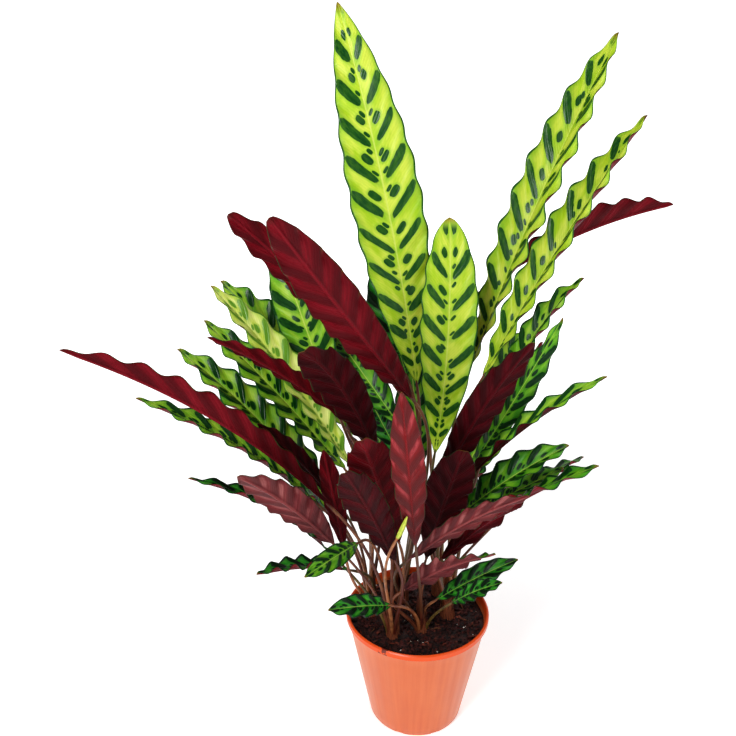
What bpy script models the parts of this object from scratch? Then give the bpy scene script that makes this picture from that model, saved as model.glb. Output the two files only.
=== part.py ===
"""Rattlesnake plant in its plastic nursery pot.

Metres, +Z up. The origin is the middle of the pot's underside, and the plant's front faces -Y.
Each blade is one object. The leaf stalks of a shoot are one object, joined where they grow
from its root crown, and each crown stands in a hole in the potting soil.
"""

import math

import bmesh
import bpy
from mathutils import Matrix, Vector

# Pot: a thin moulded nursery pot, 17 cm across its rim
POT_HEIGHT = 0.145
RIM_RADIUS = 0.085
RIM_BAND = 0.0075
RIM_STEP = 0.0025
FOOT_RADIUS = 0.0555
POT_WALL = 0.0022
POT_SIDES = 32
FOOT_HEIGHT = 0.0030
FOOT_WIDTH = 0.0060
FLOOR_TOP = 0.0055
CENTRE_PAD_RADIUS = 0.0125
FOOT_NOTCHES = 8
NOTCH_WIDTH = 0.009
NOTCH_HEIGHT = 0.0024
DRAIN_HOLES = 6
DRAIN_RADIUS = 0.004
DRAIN_CIRCLE = 0.034

# Soil: fills the pot to 12 mm under its rim
SOIL_LEVEL = 0.133
SOIL_BUMP = 0.0012
CLEARANCE = 0.0003

# Root crowns: where each shoot stands, seen from above
SHOOTS = {
    "front_left": (-0.030, -0.036),
    "front_middle": (0.004, -0.026),
    "left": (-0.055, 0.004),
    "right": (0.036, 0.000),
    "back_middle": (-0.018, 0.030),
    "back_right": (0.028, 0.044),
}
CROWN_RADIUS = 0.0095
CROWN_SIDES = 12
CROWN_DEPTH = 0.022
CROWN_RISE = 0.004

# Leaf stalks: thick in the sheath at the crown, thin above, swollen again at the joint
STALK_RADIUS = 0.0017
STALK_SHAPE = (1.50, 1.30, 1.12, 1.00, 1.00, 1.12, 0.80)
STALK_SPREAD = 0.0035
STALK_ROOT = 0.008
STALK_JOINT = 0.010
STALK_GAP = 0.0004

# Blades: lance-shaped, folded along the midrib, with a waved edge
BLADE_THICKNESS = 0.0009
BLADE_END_WIDTH = 0.0024
WAVES_ON_SHORT_BLADE = 3.5
WAVES_PER_METRE = 18.0
ROWS_PER_WAVE = 2
BASE_FULLNESS = 0.85
VEIN_LEAD = 1.1
WAVE_RISE = 1.6


def leaf(
    name, shoot, base, tip, width, faces, arch=0.05, sweep=0.0, twist=0, fold=12, wave=0.2, taper=0.8
):
    """One leaf. The blade runs from base to tip, and its upper side faces an azimuth and a
    height in degrees, with azimuth 0 to the front and 90 to the right. Arch and sweep bow
    it, as shares of its length; twist and fold are degrees; wave is a share of half its
    width; a lower taper makes the tip blunter."""
    return {
        "name": name,
        "shoot": shoot,
        "base": Vector(base),
        "tip": Vector(tip),
        "width": width,
        "faces": faces,
        "arch": arch,
        "sweep": sweep,
        "twist": math.radians(twist),
        "fold": math.radians(fold),
        "wave": wave,
        "taper": taper,
    }


LEAVES = [
    leaf("tall_top", "back_middle", (-0.005, 0.030, 0.425), (-0.090, 0.100, 0.815),
         0.074, (0, 5), sweep=0.02, fold=6, wave=0.13, taper=0.85),
    leaf("tall_second", "right", (0.015, 0.000, 0.355), (0.025, 0.035, 0.610),
         0.060, (0, 10), sweep=0.02, fold=6, wave=0.12, taper=0.60),
    leaf("high_right", "back_right", (0.055, 0.040, 0.440), (0.205, 0.130, 0.785),
         0.057, (-50, 20), sweep=0.02, twist=20, fold=28, wave=0.22),
    leaf("high_right_front", "right", (0.065, 0.005, 0.445), (0.235, 0.095, 0.705),
         0.046, (-54, 25), sweep=0.02, twist=-20, fold=33, wave=0.25),
    leaf("right_back_red", "back_right", (0.080, 0.070, 0.530), (0.290, 0.140, 0.600),
         0.050, (175, 55), fold=48, wave=0.17),
    leaf("right_long_red", "right", (0.015, -0.050, 0.335), (0.090, -0.130, 0.535),
         0.035, (170, 10), sweep=0.02, twist=30, fold=10, taper=0.70),
    leaf("right_narrow_green", "right", (0.085, 0.000, 0.420), (0.170, 0.035, 0.545),
         0.030, (-52, 30), arch=0.13, sweep=0.02, twist=-25, fold=34, wave=0.32),
    leaf("right_green", "right", (0.055, 0.000, 0.335), (0.135, -0.035, 0.525),
         0.030, (25, 40), arch=0.02, twist=20, fold=18, wave=0.28),
    leaf("right_green_behind", "back_right", (0.070, 0.050, 0.400), (0.130, 0.090, 0.465),
         0.036, (-10, 30), fold=15, taper=0.70),
    leaf("right_edge", "right", (0.030, -0.040, 0.320), (0.170, -0.090, 0.485),
         0.028, (-95, 75), twist=45, fold=28, wave=0.30),
    leaf("right_low_green", "right", (0.040, -0.030, 0.290), (0.150, -0.050, 0.390),
         0.042, (-45, 62), fold=22, wave=0.22),
    leaf("right_low_green_back", "back_right", (0.055, 0.015, 0.260), (0.170, 0.045, 0.310),
         0.034, (-50, 66), arch=0.02, fold=22, wave=0.24),
    leaf("right_low_twist", "front_middle", (0.020, -0.060, 0.255), (0.160, -0.130, 0.410),
         0.036, (-170, 50), twist=120, wave=0.26),
    leaf("right_low_red", "front_middle", (-0.015, -0.080, 0.270), (0.090, -0.160, 0.395),
         0.026, (170, 20), fold=10),
    leaf("low_right_red", "front_middle", (-0.020, -0.060, 0.215), (0.070, -0.115, 0.300),
         0.036, (175, 35), twist=60, fold=10),
    leaf("low_right_green", "front_middle", (0.020, -0.030, 0.180), (0.110, -0.030, 0.235),
         0.028, (10, 65)),
    leaf("low_right_green_under", "front_middle", (0.035, -0.055, 0.195), (0.085, -0.080, 0.240),
         0.024, (10, 65)),
    leaf("centre_red", "front_middle", (-0.010, -0.100, 0.300), (-0.030, -0.170, 0.505),
         0.034, (180, 0), arch=0.03, fold=-14, wave=0.14, taper=0.75),
    leaf("new_leaf_roll", "front_left", (-0.030, -0.110, 0.315), (-0.020, -0.115, 0.345),
         0.010, (0, 0), fold=50, wave=0.00),
    leaf("upper_left_red", "front_left", (-0.015, -0.065, 0.450), (-0.135, -0.200, 0.665),
         0.045, (190, 10), arch=-0.01, twist=25, fold=8, taper=0.60),
    leaf("upper_left_red_back", "back_middle", (-0.035, -0.020, 0.450), (-0.185, -0.080, 0.640),
         0.034, (190, 20), sweep=-0.01, fold=8, wave=0.26, taper=0.50),
    leaf("far_left_red", "front_left", (-0.100, -0.070, 0.330), (-0.325, -0.160, 0.540),
         0.040, (185, 50), sweep=-0.015, fold=42),
    leaf("far_left_green", "left", (-0.115, -0.040, 0.315), (-0.285, -0.085, 0.460),
         0.030, (0, 80), twist=-10, fold=28, wave=0.28),
    leaf("left_green", "left", (-0.095, -0.030, 0.295), (-0.270, 0.045, 0.460),
         0.052, (45, 60), arch=0.03, sweep=0.03, twist=5, fold=22, wave=0.24),
    leaf("left_mid_red", "left", (-0.100, -0.030, 0.320), (-0.170, -0.070, 0.425),
         0.023, (190, 20), fold=10),
    leaf("left_upper_green", "left", (-0.085, 0.015, 0.325), (-0.240, 0.055, 0.490),
         0.046, (35, 60), sweep=-0.02, twist=-5, fold=18, wave=0.24),
    leaf("left_narrow_red", "left", (-0.080, -0.030, 0.405), (-0.210, -0.090, 0.525),
         0.028, (190, 50), fold=20),
    leaf("left_high_green", "back_middle", (-0.085, 0.050, 0.360), (-0.230, 0.120, 0.515),
         0.056, (45, 60), fold=22, wave=0.26),
    leaf("left_yellow", "left", (-0.080, -0.010, 0.345), (-0.230, 0.055, 0.530),
         0.046, (50, 30), fold=26),
    leaf("mid_left_dark_red", "front_left", (-0.050, -0.050, 0.375), (-0.115, -0.150, 0.535),
         0.045, (185, 5), arch=0.08, sweep=-0.03, fold=8, taper=0.50),
    leaf("behind_left_green", "back_middle", (-0.095, 0.040, 0.390), (-0.165, 0.115, 0.570),
         0.056, (0, 15), arch=0.08, twist=-30, fold=8),
    leaf("behind_mid_green", "back_middle", (-0.025, 0.030, 0.375), (-0.115, 0.140, 0.465),
         0.044, (0, 30), arch=0.07, fold=8),
    leaf("behind_mid_green_low", "back_middle", (-0.025, 0.015, 0.345), (-0.085, 0.125, 0.420),
         0.040, (0, 30), arch=0.04, twist=-5, fold=8),
    leaf("behind_top_green", "back_middle", (-0.015, 0.050, 0.425), (-0.040, 0.140, 0.545),
         0.050, (0, 15), sweep=-0.04, fold=8),
    leaf("low_left_green_tip", "front_left", (-0.100, -0.040, 0.250), (-0.235, -0.110, 0.385),
         0.022, (0, 85), arch=0.06, sweep=0.02, twist=-5, fold=20, wave=0.32),
    leaf("low_left_pink", "front_left", (-0.095, -0.075, 0.285), (-0.180, -0.150, 0.410),
         0.044, (195, 32), wave=0.13),
    leaf("low_left_green_out", "left", (-0.080, -0.050, 0.235), (-0.175, -0.100, 0.265),
         0.028, (180, 80), fold=28, wave=0.30),
    leaf("low_left_green_in", "front_left", (-0.070, -0.080, 0.290), (-0.120, -0.160, 0.305),
         0.023, (0, 40), fold=8),
    leaf("pot_left_green", "front_middle", (-0.035, -0.080, 0.210), (-0.100, -0.120, 0.235),
         0.026, (0, 55), arch=0.06, wave=0.26),
    leaf("centre_left_red", "front_left", (-0.030, -0.085, 0.270), (-0.080, -0.170, 0.425),
         0.040, (185, 5), twist=15, fold=8, taper=0.60),
    leaf("centre_left_red_back", "front_left", (-0.025, -0.050, 0.270), (-0.065, -0.155, 0.450),
         0.050, (185, 5), arch=0.06, twist=10, fold=8, wave=0.16, taper=0.60),
    leaf("left_red_spear", "left", (-0.085, -0.060, 0.270), (-0.105, -0.060, 0.390),
         0.026, (185, 5), fold=24, wave=0.10),
    leaf("centre_dark_red", "front_middle", (0.005, -0.050, 0.250), (0.035, -0.100, 0.410),
         0.048, (175, 5), fold=8, wave=0.16, taper=0.60),
    leaf("right_lime_tip", "right", (0.040, 0.010, 0.315), (0.100, 0.030, 0.365), 0.024, (0, 40)),
    leaf("behind_centre_green", "back_middle", (0.000, 0.040, 0.310), (-0.010, 0.090, 0.445),
         0.044, (0, 20), fold=10),
    leaf("back_low_left", "left", (-0.090, 0.060, 0.215), (-0.200, 0.150, 0.265), 0.040, (150, 60)),
    leaf("back_low_mid", "back_middle", (-0.030, 0.110, 0.225), (-0.050, 0.230, 0.275),
         0.042, (175, 60)),
    leaf("back_low_right", "back_right", (0.060, 0.110, 0.215), (0.120, 0.220, 0.265),
         0.040, (205, 60)),
    leaf("back_side_right", "back_right", (0.100, 0.055, 0.235), (0.210, 0.110, 0.290),
         0.040, (240, 60)),
    leaf("back_high_left", "left", (-0.070, 0.085, 0.290), (-0.150, 0.190, 0.410), 0.050, (150, 40)),
    leaf("back_high_mid", "back_middle", (0.000, 0.110, 0.310), (0.020, 0.220, 0.450),
         0.054, (185, 40)),
    leaf("back_high_right", "back_right", (0.080, 0.090, 0.300), (0.160, 0.170, 0.420),
         0.050, (215, 40)),
]

# Colours of the real surfaces
TERRACOTTA = (0.80, 0.19, 0.045, 1.0)
DARK_SOIL = (0.020, 0.010, 0.007, 1.0)
STALK_TAN = (0.26, 0.09, 0.035, 1.0)
BURGUNDY = (0.13, 0.008, 0.022, 1.0)
LIME = (0.46, 0.68, 0.055, 1.0)
LEAF_GREEN = (0.10, 0.32, 0.025, 1.0)
LIME_ABOVE = 0.45


def clear_scene():
    for obj in list(bpy.data.objects):
        bpy.data.objects.remove(obj, do_unlink=True)


def material(name, colour, roughness):
    made = bpy.data.materials.new(name)
    made.use_nodes = True
    shader = made.node_tree.nodes["Principled BSDF"]
    shader.inputs["Base Color"].default_value = colour
    shader.inputs["Roughness"].default_value = roughness
    shader.inputs["Metallic"].default_value = 0.0
    return made


def new_collection(name, parent):
    made = bpy.data.collections.new(name)
    parent.children.link(made)
    return made


def new_object(name, mesh, collection):
    made = bpy.data.objects.new(name, mesh)
    collection.objects.link(made)
    return made


def mesh_from(shape, name):
    mesh = bpy.data.meshes.new(name)
    shape.to_mesh(mesh)
    shape.free()
    return mesh


def evaluated_mesh(obj):
    """The object's mesh with its modifiers applied."""
    graph = bpy.context.evaluated_depsgraph_get()
    return bpy.data.meshes.new_from_object(obj.evaluated_get(graph))


def turned(name, profile, collection):
    """An outline of (radius, height) points, turned about the Z axis."""
    shape = bmesh.new()
    points = [shape.verts.new((radius, 0, height)) for radius, height in profile]
    for first, second in zip(points, points[1:]):
        shape.edges.new((first, second))
    obj = new_object(name, mesh_from(shape, name), collection)
    screw = obj.modifiers.new("Turn", "SCREW")
    screw.steps = POT_SIDES
    screw.render_steps = POT_SIDES
    screw.use_merge_vertices = True
    screw.merge_threshold = 0.00001
    return obj


def cut(obj, cutter):
    cutter.hide_render = True
    cutter.display_type = "WIRE"
    boolean = obj.modifiers.new(cutter.name, "BOOLEAN")
    boolean.operation = "DIFFERENCE"
    boolean.solver = "EXACT"
    boolean.object = cutter


def box_cutter(name, size, place, turn, collection):
    shape = bmesh.new()
    bmesh.ops.create_cube(shape, size=1)
    bmesh.ops.scale(shape, vec=size, verts=shape.verts)
    obj = new_object(name, mesh_from(shape, name), collection)
    obj.location = place
    obj.rotation_euler = (0, 0, turn)
    return obj


def round_cutter(name, radius, low, high, centre, sides, collection):
    shape = bmesh.new()
    bmesh.ops.create_cone(
        shape, cap_ends=True, segments=sides, radius1=radius, radius2=radius, depth=high - low
    )
    obj = new_object(name, mesh_from(shape, name), collection)
    obj.location = (*centre, (low + high) / 2)
    return obj


def outer_radius(height):
    """The pot's tapered side, below its rim band."""
    neck = RIM_RADIUS - RIM_STEP
    return FOOT_RADIUS + (neck - FOOT_RADIUS) * height / (POT_HEIGHT - RIM_BAND)


def inner_radius(height):
    return outer_radius(height) - POT_WALL


def make_pot(collection, cutters):
    edge = 0.0006
    band = POT_HEIGHT - RIM_BAND
    brim = POT_HEIGHT - 3 * edge
    inside = inner_radius(brim)
    foot_inner = FOOT_RADIUS - FOOT_WIDTH
    profile = [
        (0, FLOOR_TOP),
        (inner_radius(FLOOR_TOP), FLOOR_TOP),
        (inside, brim),
        (inside + edge, POT_HEIGHT - edge),
        (inside + 3 * edge, POT_HEIGHT),
        (RIM_RADIUS - 2 * edge, POT_HEIGHT - edge / 2),
        (RIM_RADIUS, brim),
        (RIM_RADIUS, band + edge),
        (RIM_RADIUS - edge, band),
        (outer_radius(band) + edge / 2, band - edge / 2),
        (outer_radius(band - 3 * edge), band - 3 * edge),
        (outer_radius(4 * edge), 4 * edge),
        (outer_radius(0) - edge, edge),
        (outer_radius(0) - 2 * edge, 0),
        (foot_inner, 0),
        (foot_inner - edge, FOOT_HEIGHT),
        (CENTRE_PAD_RADIUS + edge, FOOT_HEIGHT),
        (CENTRE_PAD_RADIUS, 0),
        (0, 0),
    ]
    pot = turned("pot", profile, collection)
    for k in range(FOOT_NOTCHES):
        turn = 2 * math.pi * (k + 0.5) / FOOT_NOTCHES
        reach = FOOT_RADIUS - FOOT_WIDTH / 2
        place = (reach * math.cos(turn), reach * math.sin(turn), 0)
        size = (2 * FOOT_WIDTH, NOTCH_WIDTH, 2 * NOTCH_HEIGHT)
        cut(pot, box_cutter(f"notch_{k + 1}", size, place, turn, cutters))
    for k in range(DRAIN_HOLES):
        turn = 2 * math.pi * k / DRAIN_HOLES
        centre = (DRAIN_CIRCLE * math.cos(turn), DRAIN_CIRCLE * math.sin(turn))
        low, high = -FLOOR_TOP, 2 * FLOOR_TOP
        cut(pot, round_cutter(f"drain_{k + 1}", DRAIN_RADIUS, low, high, centre, 8, cutters))
    pot.data.materials.append(material("terracotta_plastic", TERRACOTTA, 0.42))
    return pot


def soil_height(x, y):
    """The uneven top of the soil."""
    waves = math.sin(130 * x + 40 * y) + math.sin(95 * y - 55 * x + 1)
    return SOIL_LEVEL + SOIL_BUMP * waves / 2


def make_soil(collection, cutters):
    bottom = FLOOR_TOP + CLEARANCE
    edge = inner_radius(SOIL_LEVEL) - CLEARANCE
    rings = 5
    profile = [(edge * k / rings, SOIL_LEVEL) for k in range(rings + 1)]
    profile += [(inner_radius(bottom) - CLEARANCE, bottom), (0, bottom)]
    soil = turned("soil", profile, collection)
    mesh = evaluated_mesh(soil)
    soil.modifiers.clear()
    soil.data = mesh
    for point in mesh.vertices:
        x, y, z = point.co
        if z > SOIL_LEVEL - CLEARANCE and math.hypot(x, y) < edge - CLEARANCE:
            point.co.z = soil_height(x, y)
    hole = CROWN_RADIUS + CLEARANCE / math.cos(math.pi / CROWN_SIDES)
    low = SOIL_LEVEL - CROWN_DEPTH - CLEARANCE
    for name, centre in SHOOTS.items():
        high = SOIL_LEVEL + CROWN_DEPTH
        cut(soil, round_cutter(f"hole_{name}", hole, low, high, centre, CROWN_SIDES, cutters))
    mesh.materials.append(material("potting_soil", DARK_SOIL, 0.95))
    return soil


def direction(azimuth, height):
    a, h = math.radians(azimuth), math.radians(height)
    return Vector((math.sin(a) * math.cos(h), -math.cos(a) * math.cos(h), math.sin(h)))


def across(vector, axis):
    """The part of a vector at right angles to an axis, made one unit long."""
    return (vector - axis * vector.dot(axis)).normalized()


def midrib(item, s):
    """Where the midrib is at s, from 0 at the base to 1 at the tip, with the blade's own
    directions there: along it, out of its upper side, and to its side."""
    base, tip = item["base"], item["tip"]
    length = (tip - base).length
    face = direction(*item["faces"])
    chord = (tip - base).normalized()
    up = across(face, chord)
    bow = up * item["arch"] + chord.cross(up) * item["sweep"]
    middle = (base + tip) / 2 + 2 * length * bow
    point = base * (1 - s) ** 2 + middle * 2 * s * (1 - s) + tip * s**2
    along = ((middle - base) * (1 - s) + (tip - middle) * s).normalized()
    turn = Matrix.Rotation(item["twist"] * (s - 0.5), 3, along)
    up = turn @ across(face, along)
    return point, along, up, along.cross(up)


def fullness(item, s):
    """The blade's width at s, as a share of its greatest width."""
    peak = BASE_FULLNESS / (BASE_FULLNESS + item["taper"])
    greatest = peak**BASE_FULLNESS * (1 - peak) ** item["taper"]
    return max(s, 0) ** BASE_FULLNESS * max(1 - s, 0) ** item["taper"] / greatest


def wave_count(item):
    length = (item["tip"] - item["base"]).length
    return round(WAVES_ON_SHORT_BLADE + WAVES_PER_METRE * length)


def blade_point(item, s, v):
    """A point of the blade, at s along it and v across it, from -1 to 1."""
    point, _, up, side = midrib(item, s)
    full = fullness(item, s)
    half = max(item["width"] / 2 * full, BLADE_END_WIDTH / 2)
    out = abs(v)
    phase = wave_count(item) * s + VEIN_LEAD * (1 - out)
    height = item["wave"] * item["width"] / 2 * math.sqrt(full) * out**WAVE_RISE
    lift = out * half * math.sin(item["fold"]) + height * math.cos(2 * math.pi * phase)
    return point + side * (v * half * math.cos(item["fold"])) + up * lift


def make_blade(item, collection, underside):
    rows = ROWS_PER_WAVE * wave_count(item)
    name = "blade_" + item["name"]
    shape = bmesh.new()
    bmesh.ops.create_grid(shape, x_segments=2, y_segments=rows, size=1)
    for vertex in shape.verts:
        v, s = vertex.co.x, (vertex.co.y + 1) / 2
        vertex.co = blade_point(item, s, v)
    bmesh.ops.triangulate(shape, faces=shape.faces, quad_method="FIXED")
    blade = new_object(name, mesh_from(shape, name), collection)
    thicken = blade.modifiers.new("Thickness", "SOLIDIFY")
    thicken.thickness = BLADE_THICKNESS
    thicken.offset = 0
    thicken.material_offset = 1
    colour = LIME if item["tip"].z > LIME_ABOVE else LEAF_GREEN
    blade.data.materials.append(material(name, colour, 0.35))
    blade.data.materials.append(underside)
    return blade


def stalk_route(item):
    """Up out of the crown, and through a short straight joint in line with the midrib."""
    end, along, _, _ = midrib(item, 0)
    end = end - along * STALK_GAP
    joint = end - along * STALK_JOINT
    x, y = SHOOTS[item["shoot"]]
    outward = Vector((joint.x - x, joint.y - y, 0)).normalized()
    foot = Vector((x, y, SOIL_LEVEL - STALK_ROOT)) + outward * STALK_SPREAD
    rise = joint - foot
    reach = rise.length
    low = foot + Vector((0, 0, reach / 3)) + Vector((rise.x, rise.y, 0)) * 0.05
    high = joint - along * reach / 3
    steps = len(STALK_SHAPE) - 2
    for k in range(steps + 1):
        u = k / steps
        yield (
            foot * (1 - u) ** 3
            + low * 3 * u * (1 - u) ** 2
            + high * 3 * u**2 * (1 - u)
            + joint * u**3
        )
    yield end


def make_stalk(item, collection):
    curve = bpy.data.curves.new("stalk_" + item["name"], "CURVE")
    curve.dimensions = "3D"
    curve.bevel_depth = STALK_RADIUS
    curve.bevel_resolution = 1
    curve.use_fill_caps = True
    spline = curve.splines.new("POLY")
    spline.points.add(len(STALK_SHAPE) - 1)
    for place, point, share in zip(spline.points, stalk_route(item), STALK_SHAPE):
        place.co = (*point, 1)
        place.radius = share
    drawn = new_object(curve.name, curve, collection)
    shape = bmesh.new()
    shape.from_mesh(evaluated_mesh(drawn))
    bmesh.ops.remove_doubles(shape, verts=shape.verts, dist=0.00001)
    stalk = new_object(curve.name + "_tube", mesh_from(shape, curve.name), collection)
    stalk.matrix_world = drawn.matrix_world
    bpy.data.objects.remove(drawn)
    return stalk


def make_stalks(shoot, collection, parent):
    """The stalks of one shoot, joined at its root crown."""
    low, high = SOIL_LEVEL - CROWN_DEPTH, SOIL_LEVEL + CROWN_RISE
    name = "stalks_" + shoot
    shape = bmesh.new()
    bmesh.ops.create_cone(
        shape,
        cap_ends=True,
        segments=CROWN_SIDES,
        radius1=CROWN_RADIUS,
        radius2=CROWN_RADIUS,
        depth=high - low,
        matrix=Matrix.Translation((*SHOOTS[shoot], (low + high) / 2)),
    )
    crown = new_object(name, mesh_from(shape, name), collection)
    single = new_collection(name + "_single", parent)
    for item in LEAVES:
        if item["shoot"] == shoot:
            make_stalk(item, single)
    union = crown.modifiers.new("Grown together", "BOOLEAN")
    union.operation = "UNION"
    union.solver = "EXACT"
    union.operand_type = "COLLECTION"
    union.collection = single
    mesh = evaluated_mesh(crown)
    crown.modifiers.clear()
    crown.data = mesh
    for obj in list(single.objects):
        bpy.data.objects.remove(obj)
    bpy.data.collections.remove(single)
    mesh.materials.append(material(name, STALK_TAN, 0.45))
    return crown


def shade_round(obj, angle=40):
    obj.data.shade_smooth()
    obj.data.set_sharp_from_angle(angle=math.radians(angle))


clear_scene()
top = bpy.context.scene.collection
plant = new_collection("rattlesnake_plant", top)
cutters = new_collection("cutters", top)
shade_round(make_pot(plant, cutters))
make_soil(plant, cutters)
for shoot in SHOOTS:
    shade_round(make_stalks(shoot, plant, top))
underside = material("blade_underside", BURGUNDY, 0.40)
for item in LEAVES:
    shade_round(make_blade(item, plant, underside), 75)
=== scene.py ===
"""The finished look of a rattlesnake plant in its nursery pot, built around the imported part.

Metres, +Z up. The origin is the middle of the pot's underside, and the plant's front faces -Y.
The file goes from the pot and soil to the leaves, stalks and scales, then the studio.
"""

import math
import random

import bmesh
import bpy
from mathutils import Matrix, Vector, noise


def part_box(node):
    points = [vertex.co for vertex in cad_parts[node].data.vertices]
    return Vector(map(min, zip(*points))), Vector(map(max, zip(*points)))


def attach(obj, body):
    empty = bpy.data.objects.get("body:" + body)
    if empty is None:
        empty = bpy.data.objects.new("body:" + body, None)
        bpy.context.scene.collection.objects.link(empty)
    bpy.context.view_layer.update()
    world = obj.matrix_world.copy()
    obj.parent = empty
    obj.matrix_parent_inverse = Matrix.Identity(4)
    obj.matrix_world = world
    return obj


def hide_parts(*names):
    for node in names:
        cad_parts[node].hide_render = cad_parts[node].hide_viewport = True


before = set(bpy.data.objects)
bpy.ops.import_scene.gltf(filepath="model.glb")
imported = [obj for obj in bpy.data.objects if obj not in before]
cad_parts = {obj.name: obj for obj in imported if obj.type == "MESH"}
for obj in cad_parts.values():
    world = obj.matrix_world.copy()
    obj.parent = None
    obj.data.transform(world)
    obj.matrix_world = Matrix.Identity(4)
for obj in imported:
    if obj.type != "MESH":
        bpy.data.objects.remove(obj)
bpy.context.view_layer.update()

# Nursery pot
# One thin pot, injection moulded in terracotta-coloured polypropylene. It has a rolled rim band,
# a foot ring with eight drainage notches, and six drain holes through its floor.

_, pot_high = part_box("pot")
POT_HEIGHT = pot_high.z
RIM_RADIUS = pot_high.x
RIM_BAND = 0.0075
RIM_STEP = 0.0025
FOOT_RADIUS = 0.0555
POT_WALL = 0.0022
POT_STEPS = 160
FOOT_HEIGHT = 0.0030
FOOT_WIDTH = 0.0060
FLOOR_TOP = 0.0055
CENTRE_PAD_RADIUS = 0.0125
NOTCHES = 8
NOTCH_WIDTH = 0.009
NOTCH_HEIGHT = 0.0024
DRAIN_HOLES = 6
DRAIN_RADIUS = 0.004
DRAIN_CIRCLE = 0.034
FLUTES = 28
FLUTE_DEPTH = 0.00012
SOIL_SMUDGE = (-0.043, -0.073)


class Wire:
    """A socket of a material's nodes. Arithmetic on it adds Math nodes."""

    def __init__(self, socket):
        self.socket = socket

    def feed(self, inputs):
        """Sets or links the sockets of the node that this wire comes out of."""
        for key, value in inputs.items():
            socket = self.socket.node.inputs[key]
            if isinstance(value, Wire):
                self.socket.id_data.links.new(value.socket, socket)
            else:
                socket.default_value = value
        return self

    def node(self, kind, settings=None, inputs=None, output=0):
        """A new node in the same material: its settings first, then its sockets."""
        made = self.socket.id_data.nodes.new("ShaderNode" + kind)
        for key, value in (settings or {}).items():
            setattr(made, key, value)
        return Wire(made.outputs[output]).feed(inputs or {})

    def maths(self, operation, *others):
        return self.node("Math", {"operation": operation}, dict(enumerate((self, *others))))

    def __add__(self, other):
        return self.maths("ADD", other)

    def __radd__(self, other):
        return self.maths("ADD", other)

    def __sub__(self, other):
        return self.maths("SUBTRACT", other)

    def __rsub__(self, other):
        return self * -1 + other

    def __mul__(self, other):
        return self.maths("MULTIPLY", other)

    def __truediv__(self, other):
        return self.maths("DIVIDE", other)

    def __pow__(self, other):
        return self.maths("POWER", other)

    def __abs__(self):
        return self.maths("ABSOLUTE")

    def ramp(self, start, end):
        """0 on start's side, 1 on end's side, and smooth from one to the other."""
        settings = {"interpolation_type": "SMOOTHSTEP"}
        return self.node("MapRange", settings, {"Value": self, "From Min": start, "From Max": end})

    def mix(self, first, second):
        """The colour first where this wire is 0, and second where it is 1."""
        return self.node("Mix", {"data_type": "RGBA"}, {0: self, 6: first, 7: second}, output=2)

    def parts(self):
        """The three numbers of a vector or colour."""
        split = self.node("SeparateXYZ", inputs={0: self})
        return [Wire(socket) for socket in split.socket.node.outputs]

    def joined(self, x, y, z=0.0):
        return self.node("CombineXYZ", inputs={0: x, 1: y, 2: z})

    def place(self):
        """Where a point is in its object, in metres."""
        return self.node("TexCoord", output=3)

    def uv(self, name):
        """The three numbers of a UV map."""
        return self.node("UVMap", {"uv_map": name}).parts()

    def noise(self, place, scale, detail=2.0):
        return self.node("TexNoise", inputs={"Vector": place, "Scale": scale, "Detail": detail})

    def bump(self, height, distance, strength=1.0):
        inputs = {"Height": height, "Distance": distance, "Strength": strength}
        return self.node("Bump", inputs=inputs)


def paint(red, green, blue):
    """A colour as it looks on a screen, 0 to 255, turned into the shader's own scale."""
    return (*((share / 255) ** 2.2 for share in (red, green, blue)), 1.0)


def new_finish(name):
    """A new material, and the wire that comes out of its shader."""
    made = bpy.data.materials.new(name)
    made.use_nodes = True
    return made, Wire(made.node_tree.nodes["Principled BSDF"].outputs[0])


def add_piece(name, shape, *finishes):
    """The object that a bmesh becomes, shaded smooth."""
    mesh = bpy.data.meshes.new(name)
    shape.to_mesh(mesh)
    shape.free()
    mesh.shade_smooth()
    for finish in finishes:
        mesh.materials.append(finish)
    made = bpy.data.objects.new(name, mesh)
    bpy.context.scene.collection.objects.link(made)
    return made


def close_up(shape):
    """Merges seams and poles, then turns every face outwards."""
    bmesh.ops.remove_doubles(shape, verts=shape.verts, dist=0.000001)
    bmesh.ops.recalc_face_normals(shape, faces=shape.faces)


def turned(profile, steps):
    """An outline of (radius, height) points from axis to axis, turned about Z."""
    shape = bmesh.new()
    points = [shape.verts.new((radius, 0, height)) for radius, height in profile]
    edges = [shape.edges.new(pair) for pair in zip(points, points[1:])]
    bmesh.ops.spin(
        shape,
        geom=points + edges,
        cent=(0, 0, 0),
        axis=(0, 0, 1),
        angle=2 * math.pi,
        steps=steps,
        use_merge=True,
    )
    close_up(shape)
    return shape


def outer_radius(height):
    neck = RIM_RADIUS - RIM_STEP
    return FOOT_RADIUS + (neck - FOOT_RADIUS) * height / (POT_HEIGHT - RIM_BAND)


def inner_radius(height):
    return outer_radius(height) - POT_WALL


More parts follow.
